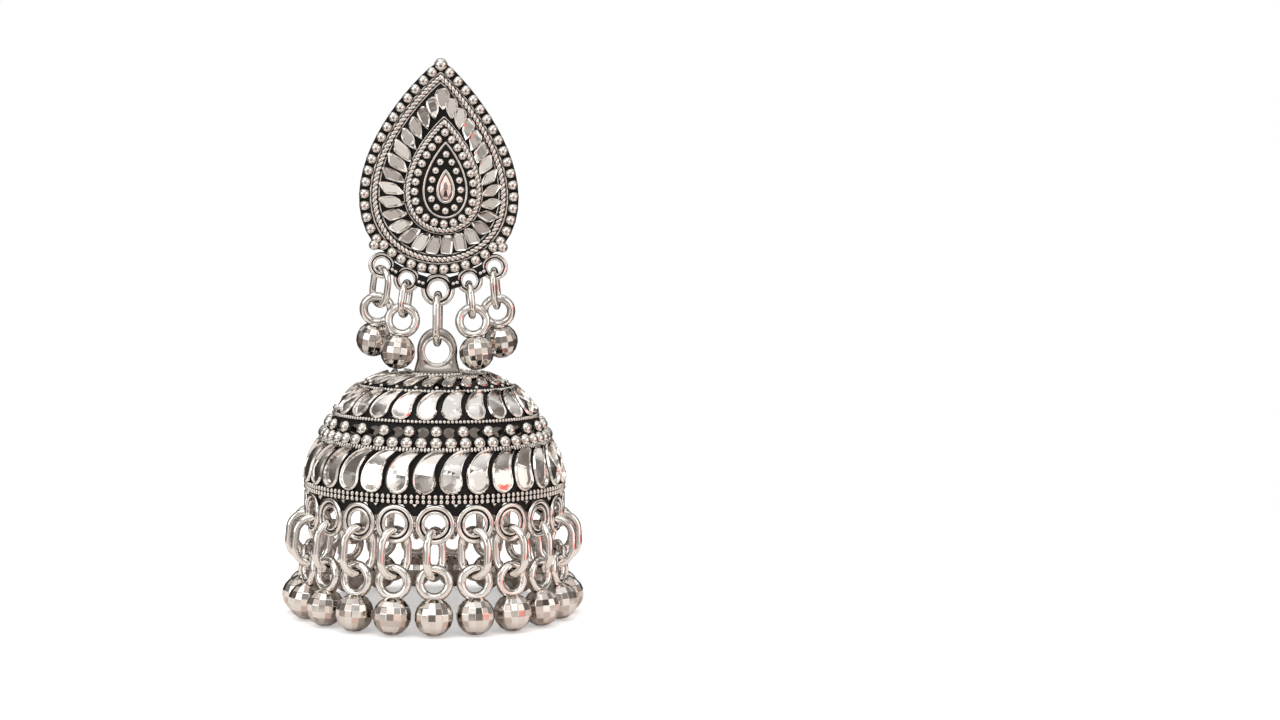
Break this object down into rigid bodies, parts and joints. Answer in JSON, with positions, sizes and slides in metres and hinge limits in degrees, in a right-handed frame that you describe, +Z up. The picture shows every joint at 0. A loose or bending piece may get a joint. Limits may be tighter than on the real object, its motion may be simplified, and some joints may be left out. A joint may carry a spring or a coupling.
{
  "type": "jhumka earring",
  "caption": "Drop earring: a teardrop plaque on an ear post, with a pierced bell hung from it by a long ring and a fringe of faceted balls on jump rings.",
  "frame": {"origin": "root of the ear post on the plaque's flat back", "axes": "+Z up as worn, -Y to the front, +X to the right seen from the front"},
  "size_m": [0.0336, 0.0334, 0.0618],
  "materials": {
    "oxidised_silver": "cast relief polished on its high spots and blackened in its recesses",
    "polished_silver": "polished, slightly darkened where pieces meet"
  },
  "bodies": {
    "stud": {"stud_plaque": "oxidised_silver", "side_link_1": "polished_silver", "side_link_2": "polished_silver", "side_link_3": "polished_silver", "side_link_4": "polished_silver", "side_charm_1": "polished_silver", "side_charm_2": "polished_silver", "side_charm_3": "polished_silver", "side_charm_4": "polished_silver"},
    "hanger": {"main_link": "polished_silver"},
    "bell": {"bell": "oxidised_silver", "fringe_link_01": "polished_silver", "fringe_link_02": "polished_silver", "fringe_link_03": "polished_silver", "fringe_link_04": "polished_silver", "fringe_link_05": "polished_silver", "fringe_link_06": "polished_silver", "fringe_link_07": "polished_silver", "fringe_link_08": "polished_silver", "fringe_link_09": "polished_silver", "fringe_link_10": "polished_silver", "fringe_link_11": "polished_silver", "fringe_link_12": "polished_silver", "fringe_link_13": "polished_silver", "fringe_link_14": "polished_silver", "fringe_link_15": "polished_silver", "fringe_link_16": "polished_silver", "fringe_link_17": "polished_silver", "fringe_link_18": "polished_silver", "fringe_link_19": "polished_silver", "fringe_link_20": "polished_silver", "fringe_link_21": "polished_silver", "fringe_charm_01": "polished_silver", "fringe_charm_02": "polished_silver", "fringe_charm_03": "polished_silver", "fringe_charm_04": "polished_silver", "fringe_charm_05": "polished_silver", "fringe_charm_06": "polished_silver", "fringe_charm_07": "polished_silver", "fringe_charm_08": "polished_silver", "fringe_charm_09": "polished_silver", "fringe_charm_10": "polished_silver", "fringe_charm_11": "polished_silver", "fringe_charm_12": "polished_silver", "fringe_charm_13": "polished_silver", "fringe_charm_14": "polished_silver", "fringe_charm_15": "polished_silver", "fringe_charm_16": "polished_silver", "fringe_charm_17": "polished_silver", "fringe_charm_18": "polished_silver", "fringe_charm_19": "polished_silver", "fringe_charm_20": "polished_silver", "fringe_charm_21": "polished_silver"}
  },
  "joints": [
    {"name": "link_swing", "type": "hinge", "parent": "stud", "child": "hanger", "pos_m": [0, -0.0006, -0.01701], "axis": [1, 0, 0], "range_deg": [-60, 60]},
    {"name": "bell_swing", "type": "hinge", "parent": "hanger", "child": "bell", "pos_m": [0, -0.0006, -0.02158], "axis": [0, 1, 0], "range_deg": [-5, 5]}
  ]
}
